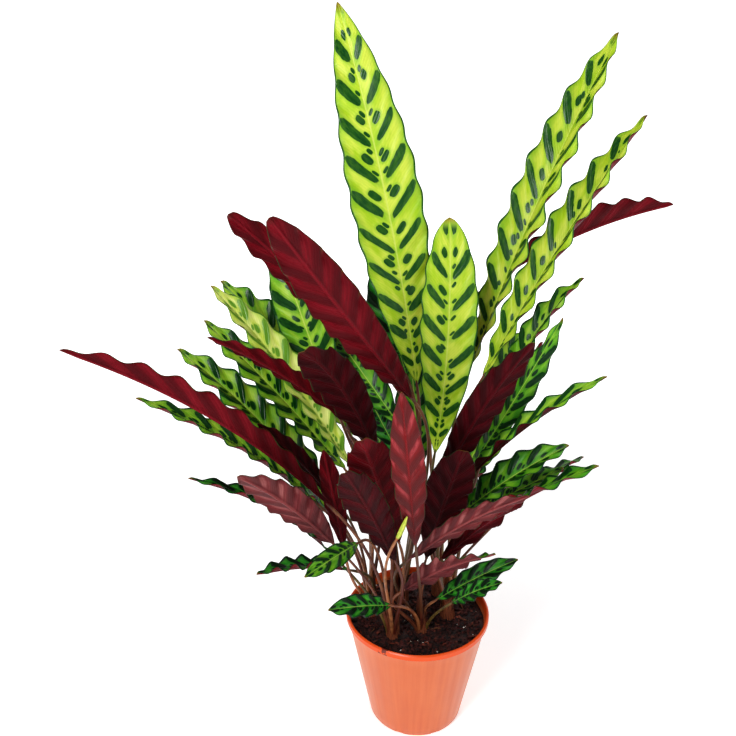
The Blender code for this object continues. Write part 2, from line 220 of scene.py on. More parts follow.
def pot_profile():
    """From the middle of the floor, up the inside, over the rim and down to the underside."""
    edge = 0.0006
    band = POT_HEIGHT - RIM_BAND
    brim = POT_HEIGHT - 3 * edge
    yield 0, FLOOR_TOP
    yield inner_radius(FLOOR_TOP), FLOOR_TOP
    for k in range(1, 13):
        height = FLOOR_TOP + (brim - FLOOR_TOP) * k / 12
        yield inner_radius(height), height
    yield inner_radius(brim) + edge, POT_HEIGHT - edge
    yield inner_radius(brim) + 3 * edge, POT_HEIGHT
    yield RIM_RADIUS - 2 * edge, POT_HEIGHT - edge / 2
    yield RIM_RADIUS, brim
    yield RIM_RADIUS - edge / 4, (brim + band) / 2
    yield RIM_RADIUS, band + edge
    yield RIM_RADIUS - edge, band
    yield outer_radius(band) + edge / 2, band - edge / 2
    for k in range(13):
        height = band - 3 * edge + (7 * edge - band) * k / 12
        yield outer_radius(height), height
    yield outer_radius(0) - edge, edge
    yield outer_radius(0) - 2 * edge, 0
    yield FOOT_RADIUS - FOOT_WIDTH, 0
    yield FOOT_RADIUS - FOOT_WIDTH - edge, FOOT_HEIGHT
    yield CENTRE_PAD_RADIUS + edge, FOOT_HEIGHT
    yield CENTRE_PAD_RADIUS, 0
    yield 0, 0


def cut_out(piece, shape):
    """Takes a shape away from a piece."""
    tool = bpy.data.objects.new("cutter", bpy.data.meshes.new("cutter"))
    bpy.context.scene.collection.objects.link(tool)
    shape.to_mesh(tool.data)
    shape.free()
    cut = piece.modifiers.new("Cut", "BOOLEAN")
    cut.operation = "DIFFERENCE"
    cut.solver = "EXACT"
    cut.object = tool
    graph = bpy.context.evaluated_depsgraph_get()
    piece.data = bpy.data.meshes.new_from_object(piece.evaluated_get(graph))
    piece.modifiers.clear()
    bpy.data.objects.remove(tool)


def terracotta_plastic():
    made, shader = new_finish("terracotta_plastic")
    place = shader.place()
    x, y, z = place.parts()
    reach = (x * x + y * y) ** 0.5
    round_about = shader.joined(x / reach, y / reach, z * 0.8)
    streaks = shader.noise(round_about, 12.0, 2.0)
    cloud = shader.noise(place, 22.0, 4.0)
    grain = shader.noise(place, 900.0, 2.0)
    colour = (streaks * 0.5 + cloud * 0.5).ramp(0.30, 0.70).mix(
        paint(206, 104, 62), paint(216, 117, 72)
    )
    band = z.ramp(POT_HEIGHT - RIM_BAND - 0.001, POT_HEIGHT - RIM_BAND + 0.001)
    colour = band.mix(colour, paint(228, 86, 26))
    clots = shader.noise(place, 160.0, 5.0)
    dust = (clots * 0.5 + cloud * 0.5).ramp(0.60, 0.72) * band
    colour = (dust * 0.75).mix(colour, paint(70, 26, 14))
    x_spot, y_spot = SOIL_SMUDGE
    spot = ((x - x_spot) ** 2 + (y - y_spot) ** 2) ** 0.5 + (clots - 0.5) * 0.03
    smudge = spot.ramp(0.0045, 0.0035) * band
    colour = (smudge * 0.85).mix(colour, paint(82, 22, 14))
    foot = z.ramp(0.012, 0.0) * cloud.ramp(0.35, 0.7)
    colour = (foot * 0.45).mix(colour, paint(165, 66, 36))
    shader.feed(
        {
            "Base Color": colour,
            "Roughness": cloud * 0.16 + 0.26,
            "Normal": shader.bump(grain * 0.4 + streaks, 0.0002, 0.2),
        }
    )
    return made


pot = add_piece("nursery_pot", turned(list(pot_profile()), POT_STEPS), terracotta_plastic())
for vertex in pot.data.vertices:
    x, y, z = vertex.co
    reach = math.hypot(x, y)
    if reach > inner_radius(z) and FOOT_HEIGHT < z < POT_HEIGHT - RIM_BAND:
        share = 1 + FLUTE_DEPTH * math.cos(FLUTES * math.atan2(y, x)) / reach
        vertex.co.x, vertex.co.y = x * share, y * share
shape = bmesh.new()
for k in range(NOTCHES):
    turn = 2 * math.pi * (k + 0.5) / NOTCHES
    place = Matrix.Rotation(turn, 4, "Z") @ Matrix.Translation((FOOT_RADIUS - FOOT_WIDTH / 2, 0, 0))
    size = Matrix.Diagonal((2 * FOOT_WIDTH, NOTCH_WIDTH, 2 * NOTCH_HEIGHT, 1))
    bmesh.ops.create_cube(shape, size=1, matrix=place @ size)
cut_out(pot, shape)
shape = bmesh.new()
for k in range(DRAIN_HOLES):
    turn = 2 * math.pi * k / DRAIN_HOLES
    place = Matrix.Rotation(turn, 4, "Z") @ Matrix.Translation((DRAIN_CIRCLE, 0, FLOOR_TOP / 2))
    bmesh.ops.create_cone(
        shape,
        cap_ends=True,
        segments=32,
        radius1=DRAIN_RADIUS,
        radius2=DRAIN_RADIUS,
        depth=3 * FLOOR_TOP,
        matrix=place,
    )
cut_out(pot, shape)
pot.data.set_sharp_from_angle(angle=math.radians(40))
rounding = pot.modifiers.new("Moulded edges", "BEVEL")
rounding.width = 0.0003
rounding.segments = 2
rounding.limit_method = "ANGLE"
rounding.angle_limit = math.radians(40)
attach(pot, "root")
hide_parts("pot")

# Potting soil
# Damp peat and composted bark, pressed in by hand to 12 mm under the rim. Its top is lumpy, with
# loose crumbs, bark chips, white perlite grains and root fibres lying on it.

SOIL_LEVEL = 0.133
SOIL_BUMP = 0.0012
SOIL_RINGS = 70
SOIL_STEPS = 170
CLEARANCE = 0.0003
SHOOTS = {
    "front_left": (-0.030, -0.036),
    "front_middle": (0.004, -0.026),
    "left": (-0.055, 0.004),
    "right": (0.036, 0.000),
    "back_middle": (-0.018, 0.030),
    "back_right": (0.028, 0.044),
}
MOUND_RADIUS = 0.014
MOUND_HEIGHT = 0.0030
GRAIN_MARGIN = 0.003
FIBRE_MARGIN = 0.002
soil_edge = inner_radius(SOIL_LEVEL) - CLEARANCE


def soil_height(x, y):
    """The top of the soil, with lumps, and heaped a little round each shoot."""
    waves = math.sin(130 * x + 40 * y) + math.sin(95 * y - 55 * x + 1)
    lumps = noise.fractal(Vector((x, y, 0.7)) * 70, 0.9, 2.1, 5)
    mound = max(
        math.exp(-((math.hypot(x - a, y - b) / MOUND_RADIUS) ** 2)) for a, b in SHOOTS.values()
    )
    return SOIL_LEVEL + SOIL_BUMP * (waves / 2 + 1.4 * lumps) + MOUND_HEIGHT * mound


def damp_soil():
    made, shader = new_finish("damp_soil")
    place = shader.place()
    clods = shader.noise(place, 260.0, 6.0)
    patch = shader.noise(place, 75.0, 3.0)
    cells = shader.node("TexVoronoi", inputs={"Vector": place, "Scale": 620.0})
    colour = clods.ramp(0.38, 0.66).mix(paint(22, 7, 6), paint(70, 34, 28))
    colour = (patch.ramp(0.52, 0.68) * 0.6).mix(colour, paint(92, 34, 32))
    specks = cells.ramp(0.16, 0.08) * clods.ramp(0.56, 0.60)
    colour = (specks * 0.7).mix(colour, paint(160, 146, 128))
    shader.feed(
        {
            "Base Color": colour,
            "Roughness": clods * 0.5 + 0.40,
            "Normal": shader.bump(clods + cells * 0.5, 0.0016, 1.0),
        }
    )
    return made


rings = [(soil_edge * k / SOIL_RINGS, SOIL_LEVEL) for k in range(SOIL_RINGS + 1)]
bottom = FLOOR_TOP + CLEARANCE
shape = turned(rings + [(inner_radius(bottom) - CLEARANCE, bottom), (0, bottom)], SOIL_STEPS)
for vertex in shape.verts:
    if vertex.co.z > SOIL_LEVEL - CLEARANCE:
        vertex.co.z = soil_height(vertex.co.x, vertex.co.y)
soil = add_piece("soil_mass", shape, damp_soil())
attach(soil, "root")
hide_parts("soil")


def scatter(draw, count):
    """Places on the soil, clear of the pot's wall."""
    for _ in range(count):
        reach = (soil_edge - GRAIN_MARGIN) * math.sqrt(draw.random())
        turn = draw.uniform(0, 2 * math.pi)
        x, y = reach * math.cos(turn), reach * math.sin(turn)
        yield Vector((x, y, soil_height(x, y)))


def strew_grains(draw, count, small, large, flat, long, sunk, rough):
    """Loose grains, each a rough lump of its own size, turned its own way."""
    shape = bmesh.new()
    for place in scatter(draw, count):
        size = small + (large - small) * draw.random() ** 2
        tilt = Matrix.Rotation(draw.uniform(-0.5, 0.5), 4, "X")
        turn = Matrix.Rotation(draw.uniform(0, 2 * math.pi), 4, "Z")
        stretch = Matrix.Diagonal((size * draw.uniform(1, long), size, size * flat, 1))
        lift = Matrix.Translation(place + Vector((0, 0, size * flat * (0.5 - sunk))))
        where = lift @ turn @ tilt @ stretch
        made = bmesh.ops.create_icosphere(shape, subdivisions=1, radius=0.5, matrix=where)
        for vertex in made["verts"]:
            vertex.co += noise.noise_vector(vertex.co * 900) * size * rough
    bmesh.ops.recalc_face_normals(shape, faces=shape.faces)
    return shape


def grain_finish(name, dark, light, scale, roughness):
    made, shader = new_finish(name)
    place = shader.place()
    tone = shader.noise(place, scale, 3.0)
    shader.feed(
        {
            "Base Color": tone.ramp(0.36, 0.66).mix(dark, light),
            "Roughness": roughness,
            "Normal": shader.bump(shader.noise(place, scale * 6, 3.0), 0.0004, 0.8),
        }
    )
    return made


draw = random.Random(11)
crumb_finish = grain_finish("peat_crumbs", paint(20, 6, 5), paint(78, 34, 28), 190.0, 0.85)
crumbs = add_piece(
    "soil_crumbs",
    strew_grains(draw, 1500, 0.0012, 0.0052, flat=0.75, long=1.5, sunk=0.15, rough=0.35),
    crumb_finish,
)
bark_finish = grain_finish("bark", paint(48, 16, 12), paint(122, 62, 46), 110.0, 0.75)
bark = add_piece(
    "bark_chips",
    strew_grains(draw, 150, 0.0028, 0.0070, flat=0.34, long=2.4, sunk=0.0, rough=0.25),
    bark_finish,
)
perlite_finish = grain_finish("perlite", paint(190, 184, 172), paint(250, 248, 240), 300.0, 0.8)
perlite = add_piece(
    "perlite_grains",
    strew_grains(draw, 60, 0.0009, 0.0024, flat=0.8, long=1.3, sunk=0.1, rough=0.3),
    perlite_finish,
)
for piece in (crumbs, bark, perlite):
    piece.data.set_sharp_from_angle(angle=math.radians(50))
    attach(piece, "root")


def across(vector, axis):
    """The part of a vector at right angles to an axis, made one unit long."""
    return (vector - axis * vector.dot(axis)).normalized()


def lay_map(vertices, layer, fixed=None):
    """Maps a fresh grid, first along it and then across it, or all of it to one fixed place."""
    for face in {face for vertex in vertices for face in vertex.link_faces}:
        for loop in face.loops:
            x, y, _ = loop.vert.co
            loop[layer].uv = fixed or ((y + 1) / 2, (x + 1) / 2)


def add_tube(shape, route, radii, sideways, sides, marks=None):
    """A closed tube along a route, which mostly keeps square to sideways. Its UV map runs
    along it and round it, and marks gives a second one that is the same all over."""
    route = [route[0], *route, route[-1]]
    radii = [0, *radii, 0]
    along_map = shape.loops.layers.uv.verify()
    mark_map = shape.loops.layers.uv.get("mark") or shape.loops.layers.uv.new("mark")
    last = len(route) - 1
    made = bmesh.ops.create_grid(shape, x_segments=sides, y_segments=last, size=1)["verts"]
    lay_map(made, along_map)
    lay_map(made, mark_map, marks or (0, 0))
    for vertex in made:
        turn = math.pi * vertex.co.x
        k = round((vertex.co.y + 1) / 2 * last)
        along = (route[min(k + 2, last)] - route[max(k - 2, 0)]).normalized()
        one = across(sideways, along)
        two = along.cross(one)
        vertex.co = route[k] + (one * math.cos(turn) + two * math.sin(turn)) * radii[k]
    bmesh.ops.remove_doubles(shape, verts=made, dist=0.0000005)


FIBRES = 26
FIBRE_POINTS = 7
shape = bmesh.new()
for place in scatter(draw, FIBRES):
    turn = draw.uniform(0, 2 * math.pi)
    run = Vector((math.cos(turn), math.sin(turn), 0))
    side = Vector((-run.y, run.x, 0))
    length, bend = draw.uniform(0.008, 0.022), draw.uniform(-0.35, 0.35)
    route = []
    for k in range(FIBRE_POINTS):
        u = k / (FIBRE_POINTS - 1) - 0.5
        point = place + run * length * u + side * bend * length * (0.5 - 2 * u * u)
        if math.hypot(point.x, point.y) > soil_edge - FIBRE_MARGIN:
            point *= (soil_edge - FIBRE_MARGIN) / math.hypot(point.x, point.y)
        point.z = soil_height(point.x, point.y) + 0.0012 + 0.0015 * math.cos(3 * u)
        route.append(point)
    thick = draw.uniform(0.00025, 0.0006)
    add_tube(shape, route, [thick] * FIBRE_POINTS, side, 5)
close_up(shape)
fibre_finish = grain_finish("root_fibres", paint(50, 26, 16), paint(124, 80, 50), 120.0, 0.7)
fibres = add_piece("root_fibres", shape, fibre_finish)
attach(fibres, "root")

# Leaf blades
# Each leaf has one lance-shaped blade, about 0.3 mm thick, with a waved edge: lime or green above
# with dark ovals along its side veins, and burgundy below. It grows in one piece with its stalk.

BLADE_END_WIDTH = 0.0024
TIP_WIDTH = 0.0007
WAVES_ON_SHORT_BLADE = 3.5
WAVES_PER_METRE = 18.0
BASE_FULLNESS = 0.85
VEIN_LEAD = 1.1
WAVE_RISE = 1.6
ROWS_PER_WAVE = 12
COLUMNS = 26
COLUMN_CROWDING = 1.4
BLADE_THICKNESS = 0.0005
RIB_THICKNESS = 0.0016
RIB_WIDTH = 0.0013
RIB_GROOVE = 0.0004
QUILT = 0.026
EDGE_SWING = 0.045
PATTERN_STRIDE = 24
LAG_SLANT = 0.55


def leaf(
    name, shoot, base, tip, width, faces, above, below="burgundy",
    arch=0.05, sweep=0.0, twist=0, fold=12, wave=0.2, taper=0.8,
):
    """One leaf. The blade runs from base to tip, and its upper side faces an azimuth and a
    height in degrees. Above and below name the finishes of its two sides."""
    return {
        "name": name,
        "shoot": shoot,
        "base": Vector(base),
        "tip": Vector(tip),
        "width": width,
        "faces": faces,
        "above": above,
        "below": below,
        "arch": arch,
        "sweep": sweep,
        "twist": math.radians(twist),
        "fold": math.radians(fold),
        "wave": wave,
        "taper": taper,
    }


LEAVES = [
    leaf("tall_top", "back_middle", (-0.005, 0.030, 0.425), (-0.090, 0.100, 0.815),
         0.074, (0, 5), "lime", sweep=0.02, fold=6, wave=0.13, taper=0.85),
    leaf("tall_second", "right", (0.015, 0.000, 0.355), (0.025, 0.035, 0.610),
         0.060, (0, 10), "lime", sweep=0.02, fold=6, wave=0.12, taper=0.60),
    leaf("high_right", "back_right", (0.055, 0.040, 0.440), (0.205, 0.130, 0.785),
         0.057, (-50, 20), "lime", sweep=0.02, twist=20, fold=28, wave=0.22),
    leaf("high_right_front", "right", (0.065, 0.005, 0.445), (0.235, 0.095, 0.705),
         0.046, (-54, 25), "lime", sweep=0.02, twist=-20, fold=33, wave=0.25),
    leaf("right_back_red", "back_right", (0.080, 0.070, 0.530), (0.290, 0.140, 0.600),
         0.050, (175, 55), "green", fold=48, wave=0.17),
    leaf("right_long_red", "right", (0.015, -0.050, 0.335), (0.090, -0.130, 0.535),
         0.035, (170, 10), "green", "shaded_wine", sweep=0.02, twist=30, fold=10, taper=0.70),
    leaf("right_narrow_green", "right", (0.085, 0.000, 0.420), (0.170, 0.035, 0.545),
         0.030, (-52, 30), "fresh", arch=0.13, sweep=0.02, twist=-25, fold=34, wave=0.32),
    leaf("right_green", "right", (0.055, 0.000, 0.335), (0.135, -0.035, 0.525),
         0.030, (25, 40), "green", arch=0.02, twist=20, fold=18, wave=0.28),
    leaf("right_green_behind", "back_right", (0.070, 0.050, 0.400), (0.130, 0.090, 0.465),
         0.036, (-10, 30), "fresh", fold=15, taper=0.70),
    leaf("right_edge", "right", (0.030, -0.040, 0.320), (0.170, -0.090, 0.485),
         0.028, (-95, 75), "fresh", "shaded_wine", twist=45, fold=28, wave=0.30),
    leaf("right_low_green", "right", (0.040, -0.030, 0.290), (0.150, -0.050, 0.390),
         0.042, (-45, 62), "green", fold=22, wave=0.22),
    leaf("right_low_green_back", "back_right", (0.055, 0.015, 0.260), (0.170, 0.045, 0.310),
         0.034, (-50, 66), "green", arch=0.02, fold=22, wave=0.24),
    leaf("right_low_twist", "front_middle", (0.020, -0.060, 0.255), (0.160, -0.130, 0.410),
         0.036, (-170, 50), "green", twist=120, wave=0.26),
    leaf("right_low_red", "front_middle", (-0.015, -0.080, 0.270), (0.090, -0.160, 0.395),
         0.026, (170, 20), "green", "sheened_rose", fold=10),
    leaf("low_right_red", "front_middle", (-0.020, -0.060, 0.215), (0.070, -0.115, 0.300),
         0.036, (175, 35), "green", "sheened_rose", twist=60, fold=10),
    leaf("low_right_green", "front_middle", (0.020, -0.030, 0.180), (0.110, -0.030, 0.235),
         0.028, (10, 65), "deep"),
    leaf("low_right_green_under", "front_middle", (0.035, -0.055, 0.195), (0.085, -0.080, 0.240),
         0.024, (10, 65), "deep"),
    leaf("centre_red", "front_middle", (-0.010, -0.100, 0.300), (-0.030, -0.170, 0.505),
         0.034, (180, 0), "green", "scarlet", arch=0.03, fold=-14, wave=0.14, taper=0.75),
    leaf("upper_left_red", "front_left", (-0.015, -0.065, 0.450), (-0.135, -0.200, 0.665),
         0.045, (190, 10), "green", arch=-0.01, twist=25, fold=8, taper=0.60),
    leaf("upper_left_red_back", "back_middle", (-0.035, -0.020, 0.450), (-0.185, -0.080, 0.640),
         0.034, (190, 20), "green", sweep=-0.01, fold=8, wave=0.26, taper=0.50),
    leaf("far_left_red", "front_left", (-0.100, -0.070, 0.330), (-0.325, -0.160, 0.540),
         0.040, (185, 50), "fresh", sweep=-0.015, fold=42),
    leaf("far_left_green", "left", (-0.115, -0.040, 0.315), (-0.285, -0.085, 0.460),
         0.030, (0, 80), "fresh", twist=-10, fold=28, wave=0.28),
    leaf("left_green", "left", (-0.095, -0.030, 0.295), (-0.270, 0.045, 0.460),
         0.052, (45, 60), "fresh", arch=0.03, sweep=0.03, twist=5, fold=22, wave=0.24),
    leaf("left_mid_red", "left", (-0.100, -0.030, 0.320), (-0.170, -0.070, 0.425),
         0.023, (190, 20), "green", "shaded_wine", fold=10),
    leaf("left_upper_green", "left", (-0.085, 0.015, 0.325), (-0.240, 0.055, 0.490),
         0.046, (35, 60), "fresh", sweep=-0.02, twist=-5, fold=18, wave=0.24),
    leaf("left_narrow_red", "left", (-0.080, -0.030, 0.405), (-0.210, -0.090, 0.525),
         0.028, (190, 50), "green", fold=20),
    leaf("left_high_green", "back_middle", (-0.085, 0.050, 0.360), (-0.230, 0.120, 0.515),
         0.056, (45, 60), "fresh", fold=22, wave=0.26),
    leaf("left_yellow", "left", (-0.080, -0.010, 0.345), (-0.230, 0.055, 0.530),
         0.046, (50, 30), "pale", fold=26),
    leaf("mid_left_dark_red", "front_left", (-0.050, -0.050, 0.375), (-0.115, -0.150, 0.535),
         0.045, (185, 5), "green", "shaded_wine", arch=0.08, sweep=-0.03, fold=8, taper=0.50),
    leaf("behind_left_green", "back_middle", (-0.095, 0.040, 0.390), (-0.165, 0.115, 0.570),
         0.056, (0, 15), "fresh", arch=0.08, twist=-30, fold=8),
    leaf("behind_mid_green", "back_middle", (-0.025, 0.030, 0.375), (-0.115, 0.140, 0.465),
         0.044, (0, 30), "green", arch=0.07, fold=8),
    leaf("behind_mid_green_low", "back_middle", (-0.025, 0.015, 0.345), (-0.085, 0.125, 0.420),
         0.040, (0, 30), "deep", arch=0.04, twist=-5, fold=8),
    leaf("behind_top_green", "back_middle", (-0.015, 0.050, 0.425), (-0.040, 0.140, 0.545),
         0.050, (0, 15), "deep", sweep=-0.04, fold=8),
    leaf("low_left_green_tip", "front_left", (-0.100, -0.040, 0.250), (-0.235, -0.110, 0.385),
         0.022, (0, 85), "deep", arch=0.06, sweep=0.02, twist=-5, fold=20, wave=0.32),
    leaf("low_left_pink", "front_left", (-0.095, -0.075, 0.285), (-0.180, -0.150, 0.410),
         0.044, (195, 32), "green", "sheened_rose", wave=0.13),
    leaf("low_left_green_out", "left", (-0.080, -0.050, 0.235), (-0.175, -0.100, 0.265),
         0.028, (180, 80), "deep", fold=28, wave=0.30),
    leaf("low_left_green_in", "front_left", (-0.070, -0.080, 0.290), (-0.120, -0.160, 0.305),
         0.023, (0, 40), "green", fold=8),
    leaf("pot_left_green", "front_middle", (-0.035, -0.080, 0.210), (-0.100, -0.120, 0.235),
         0.026, (0, 55), "deep", arch=0.06, wave=0.26),
    leaf("centre_left_red", "front_left", (-0.030, -0.085, 0.270), (-0.080, -0.170, 0.425),
         0.040, (185, 5), "green", "shaded_wine", twist=15, fold=8, taper=0.60),
    leaf("centre_left_red_back", "front_left", (-0.025, -0.050, 0.270), (-0.065, -0.155, 0.450),
         0.050, (185, 5), "green", arch=0.06, twist=10, fold=8, wave=0.16, taper=0.60),
    leaf("left_red_spear", "left", (-0.085, -0.060, 0.270), (-0.105, -0.060, 0.390),
         0.026, (185, 5), "green", fold=24, wave=0.10),
    leaf("centre_dark_red", "front_middle", (0.005, -0.050, 0.250), (0.035, -0.100, 0.410),
         0.048, (175, 5), "green", "shaded_wine", fold=8, wave=0.16, taper=0.60),
    leaf("right_lime_tip", "right", (0.040, 0.010, 0.315), (0.100, 0.030, 0.365),
         0.024, (0, 40), "fresh"),
    leaf("behind_centre_green", "back_middle", (0.000, 0.040, 0.310), (-0.010, 0.090, 0.445),
         0.044, (0, 20), "green", fold=10),
    leaf("back_low_left", "left", (-0.090, 0.060, 0.215), (-0.200, 0.150, 0.265),
         0.040, (150, 60), "deep"),
    leaf("back_low_mid", "back_middle", (-0.030, 0.110, 0.225), (-0.050, 0.230, 0.275),
         0.042, (175, 60), "green"),
    leaf("back_low_right", "back_right", (0.060, 0.110, 0.215), (0.120, 0.220, 0.265),
         0.040, (205, 60), "deep"),
    leaf("back_side_right", "back_right", (0.100, 0.055, 0.235), (0.210, 0.110, 0.290),
         0.040, (240, 60), "green"),
    leaf("back_high_left", "left", (-0.070, 0.085, 0.290), (-0.150, 0.190, 0.410),
         0.050, (150, 40), "fresh"),
    leaf("back_high_mid", "back_middle", (0.000, 0.110, 0.310), (0.020, 0.220, 0.450),
         0.054, (185, 40), "fresh"),
    leaf("back_high_right", "back_right", (0.080, 0.090, 0.300), (0.160, 0.170, 0.420),
         0.050, (215, 40), "fresh"),
]


def direction(azimuth, height):
    a, h = math.radians(azimuth), math.radians(height)
    return Vector((math.sin(a) * math.cos(h), -math.cos(a) * math.cos(h), math.sin(h)))


def midrib(item, s):
    """Where the midrib is at s, from 0 at the base to 1 at the tip, and the blade's own
    directions there: along it, out of its upper side, and to its side."""
    base, tip = item["base"], item["tip"]
    length = (tip - base).length
    face = direction(*item["faces"])
    chord = (tip - base).normalized()
    up = across(face, chord)
    bow = up * item["arch"] + chord.cross(up) * item["sweep"]
    middle = (base + tip) / 2 + 2 * length * bow
    point = base * (1 - s) ** 2 + middle * 2 * s * (1 - s) + tip * s**2
    along = ((middle - base) * (1 - s) + (tip - middle) * s).normalized()
    turn = Matrix.Rotation(item["twist"] * (s - 0.5), 3, along)
    up = turn @ across(face, along)
    return point, along, up, along.cross(up)


def fullness(item, s):
    """The blade's width at s, as a share of its greatest width."""
    peak = BASE_FULLNESS / (BASE_FULLNESS + item["taper"])
    greatest = peak**BASE_FULLNESS * (1 - peak) ** item["taper"]
    return max(s, 0) ** BASE_FULLNESS * max(1 - s, 0) ** item["taper"] / greatest


def wave_count(item):
    return round(WAVES_ON_SHORT_BLADE + WAVES_PER_METRE * (item["tip"] - item["base"]).length)


def vein_phase(item, s, out):
    """How many waves from the base a side vein is, which leads towards the tip."""
    return wave_count(item) * s + VEIN_LEAD * fullness(item, s) ** 0.8 * (1 - out)


def half_width(item, s):
    """Half the blade's width at s. The edge swings in and out a little with the waves."""
    least = BLADE_END_WIDTH + (TIP_WIDTH - BLADE_END_WIDTH) * s
    swing = 1 - EDGE_SWING * math.cos(2 * math.pi * wave_count(item) * s)
    return max(item["width"] * fullness(item, s) * swing, least) / 2


def blade_height(item, s, v, half, luck):
    """How far the upper surface stands off the midrib's line: the fold, the waves of the
    edge, the soft quilting between the side veins, and the groove over the midrib."""
    full, out = fullness(item, s), abs(v)
    phase = vein_phase(item, s, out)
    swell = 1 + 0.3 * noise.noise(Vector((phase * 0.8, math.copysign(3, v), luck)))
    wave = item["wave"] * item["width"] / 2 * math.sqrt(full) * out**WAVE_RISE
    cushion = abs(math.sin(math.pi * phase)) ** 1.3 - 0.5
    quilt = QUILT * half * cushion * min(5 * out, 1) * (1 - out**4)
    groove = RIB_GROOVE * math.exp(-((out * half / RIB_WIDTH) ** 2)) * math.sqrt(full)
    return (
        out * half * math.sin(item["fold"])
        + wave * swell * math.cos(2 * math.pi * phase)
        + quilt
        - groove
    )


def rib_weight(half, v):
    """The blade's thickness, as a share of that at the midrib, which stands out below."""
    rib = math.exp(-((abs(v) * half / RIB_WIDTH) ** 2)) * min(half / 0.006, 1)
    return (BLADE_THICKNESS + (RIB_THICKNESS - BLADE_THICKNESS) * rib) / RIB_THICKNESS


def blade_shape(item, index):
    """The upper surface, with its pattern map in step with the waves and veins."""
    waves = wave_count(item)
    shape = bmesh.new()
    bmesh.ops.create_grid(
        shape, x_segments=COLUMNS, y_segments=ROWS_PER_WAVE * waves, size=1
    )
    pattern = shape.loops.layers.uv.new("pattern")
    plain = shape.loops.layers.uv.new("blade")
    thickness = shape.verts.layers.deform.verify()
    places = {}
    for vertex in shape.verts:
        x, y, _ = vertex.co
        places[vertex] = ((y + 1) / 2, math.copysign(abs(x) ** COLUMN_CROWDING, x))
    for face in shape.faces:
        for loop in face.loops:
            s, v = places[loop.vert]
            phase = vein_phase(item, s, abs(v))
            loop[pattern].uv = (phase + PATTERN_STRIDE * index, v)
            loop[plain].uv = (s, v)
    for vertex, (s, v) in places.items():
        point, _, up, side = midrib(item, s)
        half = half_width(item, s)
        height = blade_height(item, s, v, half, index) + BLADE_THICKNESS / 2
        vertex.co = point + side * (v * half * math.cos(item["fold"])) + up * height
        vertex[thickness][0] = rib_weight(half, v)
    return shape


def oval(shader, phase, out, side, place, middle, reach, spread, seed, rarity=0.0):
    """How far a point is from the nearest oval of a row, where 1 is its outline. The row has
    one oval to a wave, and each has its own size by chance."""
    cell = (phase - place + 0.5).maths("FLOOR")
    seat = shader.joined(cell, side, seed)
    chance = shader.node("TexWhiteNoise", {"noise_dimensions": "3D"}, {"Vector": seat}, output=1)
    one, two, three = chance.parts()
    lag = phase - place - cell + (one - 0.5) * 0.06
    along = abs(lag) / (two * spread * 0.4 + spread * 0.8)
    outward = abs(out + lag * LAG_SLANT - middle - (two - 0.5) * 0.06)
    outward = outward / (one * reach * 0.24 + reach * 0.88)
    far = (outward**3.0 + along**2.3) ** 0.42
    return far + three.ramp(rarity, rarity - 0.001) * 9 if rarity else far


def blade_top(name, colours, reach=0.40, spread=0.17, edge=0.04):
    """The upper side: a bright ground, dark ovals in step with the side veins, a dark edge
    and a pale line over the midrib."""
    ground, sun, halo, dark, rim = (paint(*colour) for colour in colours)
    made, shader = new_finish(name)
    phase, v, _ = shader.uv("pattern")
    s, _, _ = shader.uv("blade")
    out, side = abs(v), v.maths("SIGN")
    cloud = shader.noise(shader.joined(phase, v * 1.6, 0.0), 1.3, 3.0)
    ragged = shader.noise(shader.joined(phase * 5, v * 4, 3.0), 1.4, 3.0)
    large = oval(shader, phase, out, side, 0.0, 0.13 + reach, reach, spread, 1.0)
    medium = oval(shader, phase, out, side, 0.50, 0.27, 0.13, 0.13, 2.0, 0.15)
    small = oval(shader, phase, out, side, 0.25, 0.16, 0.07, 0.07, 3.0, 0.45)
    little = oval(shader, phase, out, side, 0.74, 0.17, 0.08, 0.08, 4.0, 0.40)
    few = small.maths("MINIMUM", little) + s.ramp(0.84, 0.90) * 9
    far = large.maths("MINIMUM", medium + s.ramp(0.93, 0.96) * 9).maths("MINIMUM", few)
    far = far + (ragged - 0.5) * 0.35
    body = s.ramp(0.985, 0.95) * s.ramp(0.01, 0.06)
    patch = far.ramp(1.06, 0.94) * body
    glow = far.ramp(1.75, 0.95) * 0.55
    fine = (phase * 2 * math.pi * 9).maths("SINE")
    grain = shader.noise(shader.joined(phase * 14, v * 3, 5.0), 3.0, 3.0)
    colour = cloud.ramp(0.36, 0.62).mix(ground, sun)
    colour = (fine * 0.05 + grain * 0.3 + 0.02).mix(colour, halo)
    colour = glow.mix(colour, halo)
    colour = (out.ramp(0.70, 1.0) * 0.6).mix(colour, halo)
    line = out.ramp(0.035, 0.012) * 0.6
    colour = line.mix(colour, paint(206, 220, 110))
    deep = (ragged * 0.6 + grain * 0.4).ramp(0.35, 0.7).mix(dark, halo)
    deep = ((out - 0.1) * 0.25 + 0.12).mix(dark, deep)
    colour = patch.mix(colour, deep)
    border = (out + (cloud - 0.5) * 0.06).ramp(1 - edge * 1.6, 1 - edge * 0.7)
    colour = border.mix(colour, rim)
    colour = (s.ramp(0.965, 1.0) * 0.7).mix(colour, paint(150, 96, 40))
    ridge = (phase * math.pi).maths("SINE").maths("ABSOLUTE").ramp(0.0, 0.35)
    relief = ridge * 0.55 + fine * 0.10 + grain * 0.20 - patch * 0.10
    shader.feed(
        {
            "Base Color": colour,
            "Roughness": 0.42 - patch * 0.14 + grain * 0.06,
            "Normal": shader.bump(relief, 0.0007, 0.8),
            "Specular IOR Level": 0.28,
            "Coat Weight": 0.05,
            "Coat Roughness": 0.2,
        }
    )
    return made


